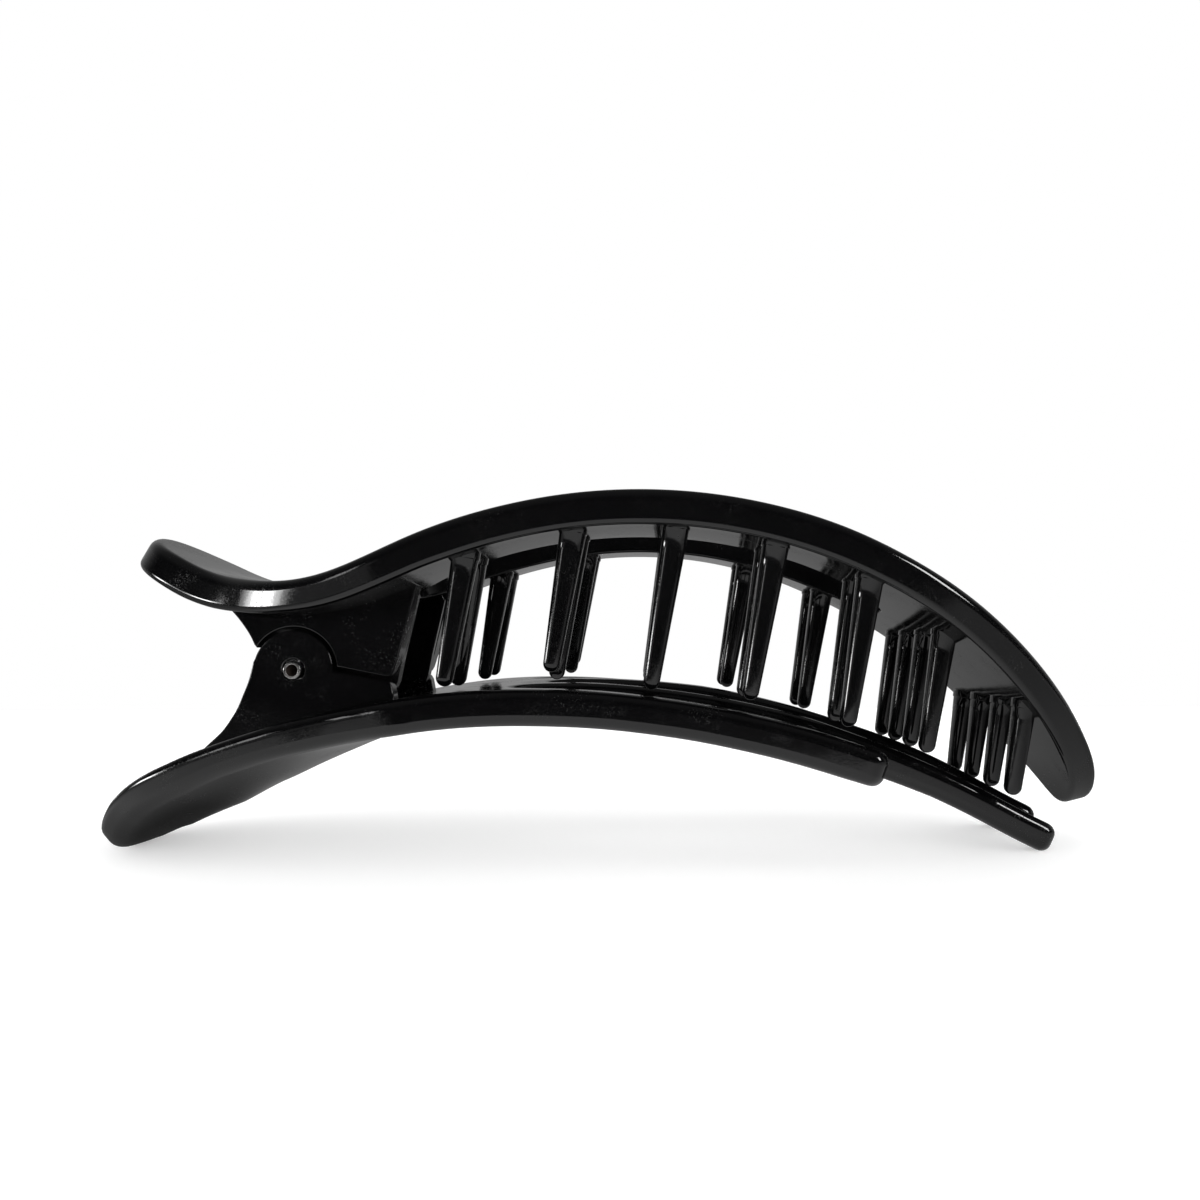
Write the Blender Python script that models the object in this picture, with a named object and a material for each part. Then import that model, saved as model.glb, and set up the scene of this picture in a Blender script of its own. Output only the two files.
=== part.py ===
"""Flat hair clip: an arched upper jaw with a long hole and seven rows of teeth, a five-armed lower jaw,
a hinge pin and a torsion spring. Metres, Z up, tip toward +X, finger tabs toward -X, resting on z = 0."""

import math

import bmesh
import bpy
import numpy as np
from mathutils import Matrix, Vector
from mathutils.geometry import delaunay_2d_cdt

MM = 0.001

# Top line of each jaw, seen from the side: x, z, thickness (mm)
UPPER_LINE = [
    (-66.80, 45.15, 3.9), (-64.90, 44.20, 4.0), (-61.40, 42.12, 4.1), (-58.60, 40.62, 4.2),
    (-55.10, 38.90, 4.3), (-51.30, 37.67, 4.3), (-47.70, 37.00, 4.2), (-43.28, 36.50, 4.1),
    (-41.04, 36.45, 4.0), (-38.83, 36.60, 4.0), (-34.57, 37.45, 4.1), (-30.34, 38.95, 4.2),
    (-24.13, 41.60, 4.3), (-20.10, 43.10, 4.4), (-12.20, 45.30, 4.4), (-4.32, 46.65, 4.4),
    (4.54, 47.12, 4.4), (13.39, 46.50, 4.4), (21.24, 45.00, 4.4), (29.09, 42.55, 4.4),
    (37.05, 38.90, 4.35), (45.75, 33.72, 4.2), (50.42, 30.18, 4.15), (55.40, 25.65, 4.1),
    (61.00, 19.50, 4.0), (64.50, 15.12, 3.95), (66.70, 12.05, 3.9), (68.42, 8.88, 3.9),
    (69.58, 5.40, 3.9), (70.10, 2.60, 3.9),
]
LOWER_LINE = [
    (-73.60, 1.30, 3.6), (-71.60, 2.70, 3.8), (-68.10, 5.60, 4.1), (-64.29, 9.07, 4.3),
    (-59.99, 11.70, 4.4), (-55.18, 13.90, 4.35), (-50.08, 15.80, 4.1), (-44.56, 17.55, 4.15),
    (-39.08, 19.00, 4.25), (-28.22, 21.10, 4.45), (-20.65, 22.12, 4.5), (-12.60, 22.55, 4.55),
    (-6.43, 22.50, 4.6), (-0.30, 22.15, 4.6), (5.84, 21.45, 4.6), (11.93, 20.50, 4.6),
    (18.08, 19.25, 4.65), (24.21, 17.70, 4.65), (30.24, 15.80, 4.6), (38.94, 12.66, 4.3),
    (45.51, 9.90, 4.0), (52.04, 6.70, 3.95), (56.80, 4.20, 3.95), (62.00, 1.70, 3.95),
]
# Half width of each jaw along that line: x, half width (mm)
UPPER_WIDTH = [
    (-65.0, 0.0), (-64.7, 3.0), (-63.8, 6.0), (-62.3, 9.0), (-60.4, 11.0), (-58.0, 12.3),
    (-55.0, 13.4), (-52.0, 14.9), (-49.0, 16.9), (-45.7, 19.2), (-42.0, 21.3), (-37.5, 23.1),
    (-31.4, 24.7), (-25.4, 25.4), (-15.4, 25.8), (0.0, 25.8), (15.0, 25.8), (28.6, 25.8),
    (34.6, 25.5), (40.6, 24.6), (46.7, 22.9), (52.8, 20.5), (59.0, 17.3), (63.2, 13.9),
    (66.3, 10.3), (68.7, 5.9), (69.6, 0.0),
]
# Crown of the lower tab, how far its middle lies below its edges: x, drop, half width (mm)
LOWER_CROWN = [
    (-72.0, 0.0, 13.0), (-68.5, 1.8, 15.5), (-63.9, 3.8, 18.6), (-55.7, 4.5, 21.2), (-47.6, 3.7, 22.3),
    (-42.6, 2.8, 22.9), (-38.1, 1.95, 23.5), (-34.5, 1.2, 24.1), (-28.1, 0.2, 24.9), (-22.0, 0.0, 25.4),
    (60.0, 0.0, 25.4),
]
# How the crown rises from the middle to the edge: 1 straight, 2 a parabola
CROWN_POWER = 1.8
LOWER_TAB = [
    (-71.5, 0.0), (-71.1, 5.5), (-69.8, 10.6), (-66.9, 15.4), (-62.2, 19.1), (-55.7, 21.4),
    (-48.6, 22.5), (-40.5, 23.5), (-32.5, 24.4), (-24.1, 25.2),
]
# Long hole: half width; tips and ends of its straight sides, along x (mm)
HOLE_HALF_WIDTH = 11.8
HOLE_ENDS = (-29.6, -10.4, 26.0, 41.6)
# Edge radii: upper outline and hole, lower outline (mm)
UPPER_ROUND = (1.35, 0.55)
LOWER_ROUND = (1.4,)
# How much thicker the upper jaw is along its middle, and how far from the middle that ends (mm)
MIDDLE_SAG = 0.4
SAG_REACH = 24.5

# Arms of the lower jaw: inner edge, outer edge (mm from the middle), end of the arm along x
OUTER_ARM = (19.6, 25.3, 35.6)
INNER_ARM = (6.4, 11.4, 61.4)
MIDDLE_ARM = (0.0, 2.5, 61.4)
SLOT_STARTS = (-8.0, -6.0)
# How far an arm's rounded end reaches, as a share of half its width
ARM_END = 0.8
# How far the inner arms and the middle one rise above the outer line: x, inner, middle (mm)
ARM_RISE = [
    (-15.0, 0.0, 0.0), (-2.0, 0.4, 0.7), (13.0, 0.7, 1.5), (28.0, 0.9, 1.7), (43.0, 0.6, 1.9),
    (61.0, 0.35, 1.5),
]

# Teeth: foot x, foot z, tip x, tip z, foot y outer, tip y outer, foot y inner, tip y inner, how much
# longer the inner ones are, width along x at the foot (mm)
TEETH = [
    (-17.68, 39.02, -20.36, 22.90, 20.9, 22.0, 13.6, 11.8, 0.3, 3.3),
    (-3.98, 42.09, -6.90, 24.60, 21.6, 22.3, 13.8, 14.0, 1.2, 3.3),
    (8.95, 42.47, 5.60, 22.35, 22.1, 22.3, 13.8, 14.0, 0.4, 3.3),
    (21.39, 40.08, 17.95, 20.95, 22.1, 22.3, 13.8, 14.6, 0.0, 3.3),
    (33.20, 35.95, 30.16, 17.50, 22.0, 22.3, 13.4, 13.6, 0.0, 3.3),
    (45.00, 28.85, 42.45, 13.20, 13.1, 13.1, 4.5, 4.4, 0.0, 3.1),
    (55.65, 19.15, 53.95, 7.45, 13.0, 13.0, 4.5, 4.4, 0.0, 2.8),
]
# Width across at the foot, both widths at the tip, length of the rounded end, length sunk in the plate (mm)
TOOTH_FOOT_ACROSS = 3.5
TOOTH_TIP = (2.0, 2.3)
TOOTH_END = 1.05
TOOTH_SUNK = 1.4
# Section of a tooth: sides, corner radius over its width, and how square it is (1 round, 0 square)
TOOTH_SIDES = 8
TOOTH_HALF = 0.53
TOOTH_POWER = 0.62

# Hinge: pin centre x, z; ear planes as distance from the middle (mm)
PIN_X = -41.80
PIN_Z = 24.86
PIN_RADIUS = 1.15
PIN_BORE = 0.78
PIN_HALF = 14.7
PIN_HOLE = 1.5
LOWER_EAR = (11.6, 14.2)
UPPER_PANEL = (10.2, 14.0)
UPPER_EAR = (8.8, 11.25)
BOSS_RADIUS = 5.3
EAR_RADIUS = 4.6
PANEL_ARC = 5.75

# Side outlines of the hinge cheeks: x, z (mm)
PANEL_LEFT = [(-51.9, 34.6), (-49.6, 32.4), (-48.3, 30.7), (-47.4, 29.2), (-47.0, 28.3)]
PANEL_RIGHT = [
    (-34.95, 25.03), (-29.5, 23.87), (-28.87, 23.97), (-28.52, 24.56), (-27.82, 26.7), (-25.62, 35.4),
]
WEB_LEFT = [
    (-55.5, 12.3), (-53.9, 14.4), (-52.4, 15.8), (-51.1, 17.1), (-50.1, 18.5), (-49.3, 19.8),
    (-48.6, 21.4), (-47.9, 23.1), (-47.4, 24.8), (-47.1, 26.0),
]
WEB_RIGHT = [(-35.4, 24.52), (-29.74, 23.37), (-29.03, 23.24), (-28.67, 22.63), (-28.42, 21.2)]

# Upper edge of the panel, inside the upper jaw: x, and depth below the jaw's top (mm)
PANEL_TOP = (-25.4, -29.0, -33.5, -38.5, -43.5, -48.0, -51.6)
PANEL_SUNK = 2.1
EAR_TOP = [
    (-36.6, 23.7), (-30.2, 22.2), (-29.0, 22.3), (-28.6, 23.2), (-27.9, 26.6), (-25.9, 34.9), (-27.4, 38.0),
    (-34.2, 35.6), (-45.4, 34.6), (-47.0, 28.9),
]
# Foot of the web, inside the lower jaw: x, depth below the jaw's top (mm), share of the crown there
WEB_FOOT = (-28.6, -34.0, -40.0, -46.0, -51.0, -55.6)
WEB_SUNK = 2.6
WEB_CROWN = 0.6

# Spring: wire radius, coil radius, angles where the coil starts and ends, length of coil, leg ends x, z (mm)
WIRE = 0.55
COIL = 2.55
COIL_START = 58.0
COIL_END = -1491.0
COIL_LENGTH = 8.0
UPPER_LEG = (-50.8, 31.9)
LOWER_LEG = (-53.0, 13.2)

# How the clip lies: turned about x, z by an angle with the tip going up (degrees), then moved by x, z (mm)
REST_ABOUT = (4.60, 28.42)
REST_TURN = 0.209
REST_SHIFT = (0.743, 0.493)

# Fineness: steps round an edge, points round each outline
SEGMENTS = 2
UPPER_POINTS = 92
HOLE_POINTS = 44
LOWER_POINTS = 236
DENSE = 1600


def clear_scene():
    for item in list(bpy.data.objects):
        bpy.data.objects.remove(item, do_unlink=True)


def spline(xs, ys):
    """Natural cubic through the points, as a function of x."""
    xs = np.asarray(xs, float)
    ys = np.asarray(ys, float)
    count = len(xs)
    h = np.diff(xs)
    a = np.zeros((count, count))
    b = np.zeros(count)
    a[0, 0] = 1.0
    a[-1, -1] = 1.0
    for i in range(1, count - 1):
        a[i, i - 1] = h[i - 1]
        a[i, i] = 2 * (h[i - 1] + h[i])
        a[i, i + 1] = h[i]
        b[i] = 6 * ((ys[i + 1] - ys[i]) / h[i] - (ys[i] - ys[i - 1]) / h[i - 1])
    m = np.linalg.solve(a, b)

    def value(x):
        i = int(np.clip(np.searchsorted(xs, x) - 1, 0, count - 2))
        p = xs[i + 1] - x
        q = x - xs[i]
        w = h[i]
        return (
            m[i] * p ** 3 / (6 * w)
            + m[i + 1] * q ** 3 / (6 * w)
            + (ys[i] / w - m[i] * w / 6) * p
            + (ys[i + 1] / w - m[i + 1] * w / 6) * q
        )

    return value


class Line:
    """Top line of a jaw: length along it to place, upward normal and thickness."""

    def __init__(self, table, samples=1200):
        points = np.array(table)
        steps = np.hypot(np.diff(points[:, 0]), np.diff(points[:, 1]))
        along = np.concatenate([[0.0], np.cumsum(steps)])
        fx = spline(along, points[:, 0])
        fz = spline(along, points[:, 1])
        u = np.linspace(0.0, along[-1], samples)
        self.x = np.array([fx(v) for v in u])
        self.z = np.array([fz(v) for v in u])
        self.s = np.concatenate([[0.0], np.cumsum(np.hypot(np.diff(self.x), np.diff(self.z)))])
        self.t = np.interp(u, along, points[:, 2])
        dx = np.gradient(self.x, self.s)
        dz = np.gradient(self.z, self.s)
        size = np.hypot(dx, dz)
        self.dx = dx / size
        self.dz = dz / size

    def length_at(self, x):
        return float(np.interp(x, self.x, self.s))

    def place(self, s, y, n):
        """World point (mm) for length s, side y and share n of the thickness below the top."""
        x = float(np.interp(s, self.s, self.x))
        z = float(np.interp(s, self.s, self.z))
        dx = float(np.interp(s, self.s, self.dx))
        dz = float(np.interp(s, self.s, self.dz))
        return (x - dz * n, y, z + dx * n)

    def thickness(self, s):
        return float(np.interp(s, self.s, self.t))


def closed_spline(points, count):
    """Dense closed curve through the points."""
    ring = np.array(points + points[:3])
    ring = np.vstack([np.array(points[-3:]), ring])
    steps = np.hypot(np.diff(ring[:, 0]), np.diff(ring[:, 1])) ** 0.75
    along = np.concatenate([[0.0], np.cumsum(steps)])
    fx = spline(along, ring[:, 0])
    fy = spline(along, ring[:, 1])
    start = along[3]
    end = along[3 + len(points)]
    u = np.linspace(start, end, count, endpoint=False)
    return np.array([(fx(v), fy(v)) for v in u])


def resample(dense, count, bend):
    """Points round a closed curve, closer together where it turns. bend is the length that one radian
    is worth."""
    nxt = np.roll(dense, -1, axis=0)
    step = np.hypot(*(nxt - dense).T)
    heading = np.arctan2((nxt - dense)[:, 1], (nxt - dense)[:, 0])
    turn = np.abs(np.angle(np.exp(1j * (np.roll(heading, -1) - heading))))
    measure = np.concatenate([[0.0], np.cumsum(step + bend * turn)])
    want = np.linspace(0.0, measure[-1], count, endpoint=False)
    closed = np.vstack([dense, dense[:1]])
    return np.array([np.interp(want, measure, closed[:, 0]), np.interp(want, measure, closed[:, 1])]).T


def inset(loop, distance):
    """The loop moved to its left by the distance."""
    before = loop - np.roll(loop, 1, axis=0)
    after = np.roll(loop, -1, axis=0) - loop
    before /= np.linalg.norm(before, axis=1)[:, None]
    after /= np.linalg.norm(after, axis=1)[:, None]
    n1 = np.stack([-before[:, 1], before[:, 0]], axis=1)
    n2 = np.stack([-after[:, 1], after[:, 0]], axis=1)
    mid = n1 + n2
    mid /= np.linalg.norm(mid, axis=1)[:, None]
    cosine = np.clip((mid * n1).sum(axis=1), 0.6, 1.0)
    return loop + mid * (distance / cosine)[:, None]


def inside(point, loops):
    x, y = point
    odd = False
    for loop in loops:
        nxt = np.roll(loop, -1, axis=0)
        crosses = (loop[:, 1] > y) != (nxt[:, 1] > y)
        with np.errstate(divide="ignore", invalid="ignore"):
            at = loop[:, 0] + (y - loop[:, 1]) * (nxt[:, 0] - loop[:, 0]) / (nxt[:, 1] - loop[:, 1])
        odd ^= bool((crosses & (x < at)).sum() % 2)
    return odd


def triangulate(loops, extra):
    """Triangles of the area inside the loops. Vertex order: the loops' points, then the extra ones."""
    points = [tuple(p) for loop in loops for p in loop]
    edges = []
    start = 0
    for loop in loops:
        size = len(loop)
        edges += [(start + i, start + (i + 1) % size) for i in range(size)]
        start += size
    points += [tuple(p) for p in extra]
    found = delaunay_2d_cdt([Vector(p) for p in points], edges, [], 1, 1e-6)
    vertices, faces, origin = found[0], found[2], found[3]
    back = [group[0] for group in origin]
    result = []
    for face in faces:
        middle = sum((Vector(vertices[i]) for i in face), Vector((0.0, 0.0))) / len(face)
        if inside(middle, loops):
            result.append([back[i] for i in face])
    return np.array(points), result


def spare_points(loops, ss, ys, clear):
    """Grid points inside the loops and clear of them."""
    edge = np.vstack(loops)
    kept = []
    for s in ss:
        for y in ys:
            if inside((s, y), loops) and np.hypot(*(edge - (s, y)).T).min() > clear:
                kept.append((s, y))
    return kept


def mesh_object(name, points, faces, material):
    mesh = bpy.data.meshes.new(name)
    mesh.from_pydata([tuple(c * MM for c in p) for p in points], [], faces)
    mesh.validate()
    work = bmesh.new()
    work.from_mesh(mesh)
    bmesh.ops.recalc_face_normals(work, faces=work.faces)
    work.to_mesh(mesh)
    work.free()
    item = bpy.data.objects.new(name, mesh)
    if material:
        mesh.materials.append(material)
    bpy.context.scene.collection.objects.link(item)
    return item


def bent_plate(name, place, loops, rounds, stations, rows, clear, material, segments=SEGMENTS):
    """A plate with rounded edges, one radius for each loop. place(s, y, k, depth) gives the point at
    share k of the thickness moved up by depth: k is 0 on top and 1 below."""
    bands = []
    for k in range(segments + 1):
        angle = math.pi / 2 * k / segments
        bands.append((1 - math.sin(angle), 0.0, math.cos(angle) - 1))
    bands += [(e, 1.0, -depth) for e, _, depth in reversed(bands)]
    points = []
    faces = []
    starts = []
    for e, share, depth in bands:
        starts.append(len(points))
        for loop, radius in zip(loops, rounds):
            for s, y in inset(loop, e * radius):
                points.append(place(s, y, share, depth * radius))
    sizes = [len(loop) for loop in loops]
    for level in range(len(bands) - 1):
        offset = 0
        for size in sizes:
            for i in range(size):
                j = (i + 1) % size
                a = starts[level] + offset
                b = starts[level + 1] + offset
                faces.append((a + i, a + j, b + j, b + i))
            offset += size
    flat = [inset(loop, radius) for loop, radius in zip(loops, rounds)]
    extra = spare_points(flat, stations, rows, clear)
    _, cap = triangulate(flat, extra)
    total = sum(sizes)
    for share, start, flip in ((0.0, starts[0], False), (1.0, starts[-1], True)):
        extra_start = len(points)
        for s, y in extra:
            points.append(place(s, y, share, 0.0))
        for face in cap:
            ids = [start + i if i < total else extra_start + i - total for i in face]
            faces.append(tuple(reversed(ids)) if flip else tuple(ids))
    return mesh_object(name, points, faces, material)


def slab(name, loops, y0, y1):
    """A flat plate standing in the XZ plane between y0 and y1; loops are x, z outlines."""
    arrays = [np.array(loop, float) for loop in loops]
    flat, cap = triangulate(arrays, [])
    total = len(flat)
    points = [(x, y0, z) for x, z in flat] + [(x, y1, z) for x, z in flat]
    faces = [tuple(face) for face in cap]
    faces += [tuple(i + total for i in reversed(face)) for face in cap]
    start = 0
    for loop in arrays:
        size = len(loop)
        for i in range(size):
            j = (i + 1) % size
            faces.append((start + i, start + j, start + j + total, start + i + total))
        start += size
    return mesh_object(name, points, faces, None)


def circle(x, z, radius, count, start=0.0, end=360.0, closed=True):
    steps = count if closed else count - 1
    angles = [math.radians(start + (end - start) * i / steps) for i in range(count)]
    return [(x + radius * math.cos(a), z + radius * math.sin(a)) for a in angles]


def tooth_points(foot, tip, foot_size):
    """Rings of a tapered tooth from a point inside the plate to a rounded tip."""
    foot = np.array(foot, float)
    tip = np.array(tip, float)
    axis = tip - foot
    length = np.linalg.norm(axis)
    axis /= length
    along = np.cross((0.0, 1.0, 0.0), axis)
    along /= np.linalg.norm(along)
    across = np.cross(axis, along)
    straight = length - TOOTH_END
    rings = []
    for distance in (-TOOTH_SUNK, 0.0, length / 2, straight, straight + TOOTH_END * 0.6):
        share = min(max(distance / length, 0.0), 1.0)
        beyond = max(0.0, distance - straight) / TOOTH_END
        half = TOOTH_HALF * math.sqrt(1 - beyond ** 2)
        half_x = half * (foot_size[0] + (TOOTH_TIP[0] - foot_size[0]) * share)
        half_y = half * (foot_size[1] + (TOOTH_TIP[1] - foot_size[1]) * share)
        ring = []
        for i in range(TOOTH_SIDES):
            a = 2 * math.pi * (i + 0.5) / TOOTH_SIDES
            cx = math.copysign(abs(math.cos(a)) ** TOOTH_POWER, math.cos(a))
            cy = math.copysign(abs(math.sin(a)) ** TOOTH_POWER, math.sin(a))
            ring.append(foot + axis * distance + along * (cx * half_x) + across * (cy * half_y))
        rings.append(ring)
    return rings


def teeth_mesh(name):
    sides = TOOTH_SIDES
    points = []
    faces = []
    for fx, fz, tx, tz, foot_out, tip_out, foot_in, tip_in, longer, width in TEETH:
        for side in (-1, 1):
            for foot_y, tip_y, more in ((foot_out, tip_out, 0.0), (foot_in, tip_in, longer)):
                foot = (fx, side * foot_y, fz)
                end = (tx, side * tip_y, tz - more)
                rings = tooth_points(foot, end, (width, TOOTH_FOOT_ACROSS))
                start = len(points)
                for ring in rings:
                    points += [tuple(p) for p in ring]
                points.append(end)
                last = len(points) - 1
                faces.append(tuple(start + i for i in range(sides)))
                for r in range(len(rings) - 1):
                    a = start + r * sides
                    for i in range(sides):
                        j = (i + 1) % sides
                        faces.append((a + i, a + j, a + sides + j, a + sides + i))
                a = start + (len(rings) - 1) * sides
                for i in range(sides):
                    faces.append((a + i, a + (i + 1) % sides, last))
    return mesh_object(name, points, faces, None)


def join(target, other, operation="UNION"):
    """Joins or cuts another mesh with the target for good, and removes the other."""
    modifier = target.modifiers.new("join_" + other.name, "BOOLEAN")
    modifier.operation = operation
    modifier.solver = "EXACT"
    modifier.object = other
    bpy.context.view_layer.update()
    graph = bpy.context.evaluated_depsgraph_get()
    made = bpy.data.meshes.new_from_object(target.evaluated_get(graph))
    target.modifiers.clear()
    target.data = made
    bpy.data.objects.remove(other, do_unlink=True)


def plain_material(name, colour, roughness, metallic):
    material = bpy.data.materials.new(name)
    material.use_nodes = True
    shader = material.node_tree.nodes["Principled BSDF"]
    shader.inputs["Base Color"].default_value = (*colour, 1.0)
    shader.inputs["Roughness"].default_value = roughness
    shader.inputs["Metallic"].default_value = metallic
    return material


def shade(item, angle):
    for polygon in item.data.polygons:
        polygon.use_smooth = True
    item.data.set_sharp_from_angle(angle=math.radians(angle))


def upper_outline(line):
    rows = [(line.length_at(x), w) for x, w in UPPER_WIDTH]
    ring = [(s, -w) for s, w in rows] + [(s, w) for s, w in reversed(rows[1:-1])]
    return resample(closed_spline(ring, DENSE), UPPER_POINTS, 6.0)


def hole_outline(line):
    left_tip, left, right, right_tip = [line.length_at(x) for x in HOLE_ENDS]
    ring = []
    for centre, reach, start in ((right, right_tip - right, -90), (left, left_tip - left, 90)):
        for i in range(41):
            a = math.radians(start + 180 * i / 40)
            ring.append((centre + abs(reach) * math.cos(a), HOLE_HALF_WIDTH * math.sin(a)))
    return resample(np.array(ring), HOLE_POINTS, 4.0)[::-1]


def upper_jaw(material):
    line = Line(UPPER_LINE)

    def place(s, y, share, depth):
        thick = line.thickness(s) + MIDDLE_SAG * (1 - min(1.0, (y / SAG_REACH) ** 2))
        return line.place(s, y, -thick * share + depth)

    loops = [upper_outline(line), hole_outline(line)]
    stations = np.arange(3.0, line.s[-1], 5.0)
    rows = (-18.0, -13.5, -6.0, 0.0, 6.0, 13.5, 18.0)
    jaw = bent_plate("upper_jaw", place, loops, UPPER_ROUND, stations, rows, 2.2, material)
    join(jaw, teeth_mesh("teeth"))
    for side, label in ((-1, "near"), (1, "far")):
        top = [line.place(line.length_at(x), 0.0, -PANEL_SUNK) for x in PANEL_TOP]
        boss = circle(PIN_X, PIN_Z, PANEL_ARC, 13, 148.0, 4.0, closed=False)
        outline = PANEL_LEFT + boss + PANEL_RIGHT + [(x, z) for x, _, z in top]
        low, high = sorted((side * UPPER_PANEL[0], side * UPPER_PANEL[1]))
        join(jaw, slab("panel_" + label, [outline], low, high))
        ear = circle(PIN_X, PIN_Z, EAR_RADIUS, 15, 180.0, 360.0, closed=False)
        ear += EAR_TOP
        hole = circle(PIN_X, PIN_Z, PIN_HOLE, 16)
        low, high = sorted((side * UPPER_EAR[0], side * UPPER_EAR[1]))
        join(jaw, slab("ear_" + label, [ear, hole], low, high))
    shade(jaw, 32)
    return jaw


def arc(centre, reach, start, end, steps):
    """Points round part of an ellipse in the plane of length and side."""
    angles = [math.radians(start + (end - start) * i / steps) for i in range(steps + 1)]
    return [(centre[0] + reach[0] * math.cos(a), centre[1] + reach[1] * math.sin(a)) for a in angles]


def run(first, last, steps=24):
    """Points inside a straight run, without its ends."""
    shares = [i / steps for i in range(1, steps)]
    return [(first[0] + (last[0] - first[0]) * k, first[1] + (last[1] - first[1]) * k) for k in shares]


def lower_outline(line):
    at = line.length_at
    tab = [(at(x), -w) for x, w in LOWER_TAB]
    whole = closed_spline(tab + [(s, -y) for s, y in reversed(tab[1:])], DENSE)
    near = [tab[0]] + [tuple(p) for p in whole[:DENSE // 2] if p[1] < -0.01 and p[0] < tab[-1][0] - 0.4]
    edge = near[-1]
    for arm, slot_end, next_arm in (
        (OUTER_ARM, SLOT_STARTS[0], INNER_ARM),
        (INNER_ARM, SLOT_STARTS[1], MIDDLE_ARM),
    ):
        cap = (arm[1] - arm[0]) / 2
        tip = at(arm[2]) - cap * ARM_END
        start = at(slot_end)
        slot = (arm[0] - next_arm[1]) / 2
        near += run(edge, (tip, -arm[1]))
        near += arc((tip, -(arm[0] + arm[1]) / 2), (cap * ARM_END, cap), -90, 90, 16)
        near += run((tip, -arm[0]), (start, -arm[0]))
        near += arc((start, -(arm[0] + next_arm[1]) / 2), (slot, slot), 270, 90, 12)
        edge = (start, -next_arm[1])
    tip = at(MIDDLE_ARM[2]) - MIDDLE_ARM[1] * ARM_END
    near += run(edge, (tip, -MIDDLE_ARM[1]))
    near += arc((tip, 0.0), (MIDDLE_ARM[1] * ARM_END, MIDDLE_ARM[1]), -90, 0, 8)
    outline = near + [(s, -y) for s, y in reversed(near[1:-1])]
    return resample(np.array(outline), LOWER_POINTS, 2.6)


def lower_jaw(material):
    line = Line(LOWER_LINE)
    crown_s = [line.length_at(x) for x, _, _ in LOWER_CROWN]
    crown_drop = [c for _, c, _ in LOWER_CROWN]
    crown_half = [w for _, _, w in LOWER_CROWN]
    rise_s = [line.length_at(x) for x, _, _ in ARM_RISE]
    rise_inner = [r for _, r, _ in ARM_RISE]
    rise_middle = [r for _, _, r in ARM_RISE]
    sides = (MIDDLE_ARM[1], INNER_ARM[0], INNER_ARM[1], OUTER_ARM[0])

    def place(s, y, share, depth):
        inner = float(np.interp(s, rise_s, rise_inner))
        middle = float(np.interp(s, rise_s, rise_middle))
        rise = float(np.interp(abs(y), sides, (middle, inner, inner, 0.0)))
        x, y, z = line.place(s, y, -line.thickness(s) * share + depth + rise)
        drop = float(np.interp(s, crown_s, crown_drop))
        half = float(np.interp(s, crown_s, crown_half))
        return (x, y, z - drop * (1 - min(1.0, abs(y / half) ** CROWN_POWER)))

    loops = [lower_outline(line)]
    stations = np.arange(4.0, line.s[-1], 4.5)
    rows = (-22.4, -15.0, -8.9, -4.4, 0.0, 4.4, 8.9, 15.0, 22.4)
    jaw = bent_plate("lower_jaw", place, loops, LOWER_ROUND, stations, rows, 1.2, material)
    for side, label in ((-1, "near"), (1, "far")):
        foot = []
        for s in [line.length_at(x) for x in WEB_FOOT]:
            x, _, z = line.place(s, 0.0, -WEB_SUNK)
            foot.append((x, z - WEB_CROWN * float(np.interp(s, crown_s, crown_drop))))
        boss = circle(PIN_X, PIN_Z, BOSS_RADIUS, 14, 162.0, -2.0, closed=False)
        outline = WEB_LEFT + boss + WEB_RIGHT + foot
        hole = circle(PIN_X, PIN_Z, PIN_HOLE, 16)
        low, high = sorted((side * LOWER_EAR[0], side * LOWER_EAR[1]))
        join(jaw, slab("web_" + label, [outline, hole], low, high))
    shade(jaw, 32)
    return jaw


def hinge_pin(material):
    sides = 20
    points = []
    faces = []
    chamfer = 0.2
    profile = [
        (PIN_BORE, -PIN_HALF), (PIN_RADIUS - chamfer, -PIN_HALF), (PIN_RADIUS, -PIN_HALF + chamfer),
        (PIN_RADIUS, PIN_HALF - chamfer), (PIN_RADIUS - chamfer, PIN_HALF), (PIN_BORE, PIN_HALF),
    ]
    for radius, y in profile:
        for x, z in circle(0.0, 0.0, radius, sides):
            points.append((PIN_X + x, y, PIN_Z + z))
    count = len(profile)
    for k in range(count):
        a = k * sides
        b = ((k + 1) % count) * sides
        for i in range(sides):
            j = (i + 1) % sides
            faces.append((a + i, a + j, b + j, b + i))
    pin = mesh_object("hinge_pin", points, faces, material)
    shade(pin, 32)
    return pin


def spring_path():
    """Centre line of the wire: a leg, the coil and the other leg."""
    per_turn = 12
    start = math.radians(COIL_START)
    total = math.radians(COIL_START - COIL_END)
    count = int(per_turn * total / (2 * math.pi))
    path = []
    for i in range(count + 1):
        a = start - total * i / count
        y = COIL_LENGTH * (i / count - 0.5)
        path.append((PIN_X + COIL * math.cos(a), y, PIN_Z + COIL * math.sin(a)))
    first = (UPPER_LEG[0], -COIL_LENGTH / 2 - 0.2, UPPER_LEG[1])
    last = (LOWER_LEG[0], COIL_LENGTH / 2 + 0.2, LOWER_LEG[1])
    return [first] + path + [last]


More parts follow.
